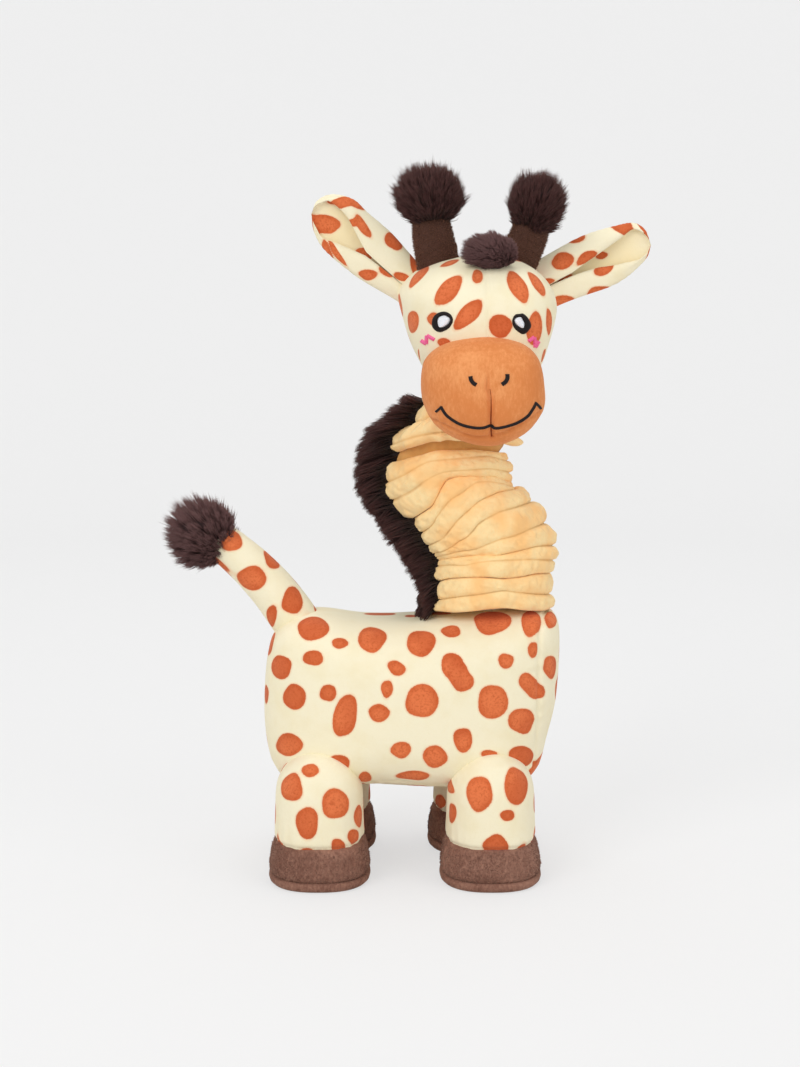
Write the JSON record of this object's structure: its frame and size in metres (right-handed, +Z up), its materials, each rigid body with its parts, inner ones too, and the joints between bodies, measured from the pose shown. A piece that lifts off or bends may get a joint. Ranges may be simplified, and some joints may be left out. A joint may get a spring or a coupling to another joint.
{
  "type": "plush giraffe dog toy",
  "caption": "Standing plush giraffe dog toy with a spotted body, a gathered corduroy neck on an elastic cord, a soft sideways-facing head, ears, horns and a tufted tail.",
  "frame": {"origin": "middle of the toy's footprint box on the floor under the soles", "axes": "+X from the tail to the chest, +Y to the toy's left side, +Z up; at rest the face looks along -Y"},
  "size_m": [0.2326, 0.116, 0.3428],
  "materials": {
    "printed_plush": "short cream plush printed with rust orange spots",
    "corduroy": "soft wide-rib corduroy plush, gathered",
    "long_pile": "long dark brown pile",
    "horn_pile": "short brown plush",
    "hoof_pile": "short brown plush",
    "muzzle_pile": "short rust-tan plush, brushed",
    "black_stitch": "satin stitch embroidery",
    "white_stitch": "satin stitch embroidery",
    "pink_stitch": "satin stitch embroidery",
    "filling": "loose polyester fibre",
    "cord": "braided elastic cord",
    "squeaker": "thin translucent vinyl"
  },
  "bodies": {
    "torso": {"body_side_right": "printed_plush", "body_side_left": "printed_plush", "body_belly_gusset": "printed_plush", "body_squeaker": "squeaker", "body_filling": "filling", "neck_cord_body_knot": "cord"},
    "leg_rear_right": {"leg_rear_right_skin": "printed_plush", "hoof_rear_right_band": "hoof_pile", "hoof_rear_right_sole": "hoof_pile", "leg_rear_right_filling": "filling"},
    "leg_rear_left": {"leg_rear_left_skin": "printed_plush", "hoof_rear_left_band": "hoof_pile", "hoof_rear_left_sole": "hoof_pile", "leg_rear_left_filling": "filling"},
    "leg_front_right": {"leg_front_right_skin": "printed_plush", "hoof_front_right_band": "hoof_pile", "hoof_front_right_sole": "hoof_pile", "leg_front_right_filling": "filling"},
    "leg_front_left": {"leg_front_left_skin": "printed_plush", "hoof_front_left_band": "hoof_pile", "hoof_front_left_sole": "hoof_pile", "leg_front_left_filling": "filling"},
    "tail": {"tail_skin": "printed_plush", "tail_filling": "filling", "tail_tuft": "long_pile"},
    "neck_lower": {"neck_sleeve_lower": "corduroy", "neck_mane_lower": "long_pile", "neck_cord_lower": "cord"},
    "neck_middle": {"neck_sleeve_middle": "corduroy", "neck_mane_middle": "long_pile", "neck_cord_middle": "cord"},
    "neck_upper": {"neck_sleeve_upper": "corduroy", "neck_mane_upper": "long_pile", "neck_cord_upper": "cord"},
    "neck_knot": {"neck_cord_head_knot": "cord"},
    "head": {"head_skin_right": "printed_plush", "head_skin_left": "printed_plush", "head_squeaker": "squeaker", "head_filling": "filling", "muzzle_skin": "muzzle_pile", "muzzle_filling": "filling", "forelock_tuft": "long_pile", "eye_right_ring": "black_stitch", "eye_right_white": "white_stitch", "eye_left_ring": "black_stitch", "eye_left_white": "white_stitch", "nostril_right": "black_stitch", "nostril_left": "black_stitch", "cheek_right": "pink_stitch", "cheek_left": "pink_stitch", "mouth_line": "black_stitch"},
    "ear_right": {"ear_right_front": "printed_plush", "ear_right_back": "printed_plush"},
    "ear_left": {"ear_left_front": "printed_plush", "ear_left_back": "printed_plush"},
    "horn_right": {"horn_right_stem": "horn_pile", "horn_right_pompom": "long_pile"},
    "horn_left": {"horn_left_stem": "horn_pile", "horn_left_pompom": "long_pile"}
  },
  "joints": [
    {"name": "neck_base_bend", "type": "hinge", "parent": "torso", "child": "neck_lower", "pos_m": [0.0443, 0.00615, 0.126], "axis": [0, 1, 0], "range_deg": [-15, 20], "stiffness_Nm_per_rad": 0.6},
    {"name": "neck_stretch", "type": "slide", "parent": "neck_lower", "child": "neck_middle", "axis": [-0.4287, 0, 0.9035], "range_m": [0, 0.04], "stiffness_N_per_m": 80},
    {"name": "neck_mid_bend", "type": "hinge", "parent": "neck_middle", "child": "neck_upper", "pos_m": [0.02533, 0.00615, 0.1923], "axis": [0, 1, 0], "range_deg": [-12, 25], "stiffness_Nm_per_rad": 0.4},
    {"name": "head_turn", "type": "hinge", "parent": "neck_upper", "child": "neck_knot", "pos_m": [0.0343, 0.00615, 0.236], "axis": [0, 0, 1], "range_deg": [-15, 75]},
    {"name": "head_nod", "type": "hinge", "parent": "neck_knot", "child": "head", "pos_m": [0.0343, 0.00615, 0.236], "axis": [-0.9925, -0.1219, 0], "range_deg": [-5, 20], "stiffness_Nm_per_rad": 0.4},
    {"name": "ear_right_flop", "type": "hinge", "parent": "head", "child": "ear_right", "pos_m": [0.0037, 0.00434, 0.28722], "axis": [0.6246, 0.0767, 0.7771], "range_deg": [-30, 30], "stiffness_Nm_per_rad": 0.006},
    {"name": "ear_left_flop", "type": "hinge", "parent": "head", "child": "ear_left", "pos_m": [0.06726, 0.01215, 0.28297], "axis": [-0.466, -0.0572, 0.8829], "range_deg": [-30, 30], "stiffness_Nm_per_rad": 0.006},
    {"name": "horn_right_lean", "type": "hinge", "parent": "head", "child": "horn_right", "pos_m": [0.01788, -0.00601, 0.293], "axis": [-0.1219, 0.9925, 0], "range_deg": [-8, 15], "stiffness_Nm_per_rad": 0.03},
    {"name": "horn_left_lean", "type": "hinge", "parent": "head", "child": "horn_left", "pos_m": [0.055, -0.00145, 0.292], "axis": [-0.1219, 0.9925, 0], "range_deg": [-15, 8], "stiffness_Nm_per_rad": 0.03},
    {"name": "tail_lift", "type": "hinge", "parent": "torso", "child": "tail", "pos_m": [-0.0527, 0.00615, 0.123], "axis": [0, 1, 0], "range_deg": [-15, 20], "stiffness_Nm_per_rad": 0.2},
    {"name": "hip_rear_right", "type": "hinge", "parent": "torso", "child": "leg_rear_right", "pos_m": [-0.0397, -0.02085, 0.043], "axis": [0, 1, 0], "range_deg": [-12, 12], "stiffness_Nm_per_rad": 0.2},
    {"name": "hip_rear_left", "type": "hinge", "parent": "torso", "child": "leg_rear_left", "pos_m": [-0.0367, 0.03315, 0.043], "axis": [0, 1, 0], "range_deg": [-12, 12], "stiffness_Nm_per_rad": 0.2},
    {"name": "hip_front_right", "type": "hinge", "parent": "torso", "child": "leg_front_right", "pos_m": [0.0433, -0.02085, 0.043], "axis": [0, 1, 0], "range_deg": [-12, 12], "stiffness_Nm_per_rad": 0.2},
    {"name": "hip_front_left", "type": "hinge", "parent": "torso", "child": "leg_front_left", "pos_m": [0.0383, 0.03315, 0.043], "axis": [0, 1, 0], "range_deg": [-12, 12], "stiffness_Nm_per_rad": 0.2}
  ]
}
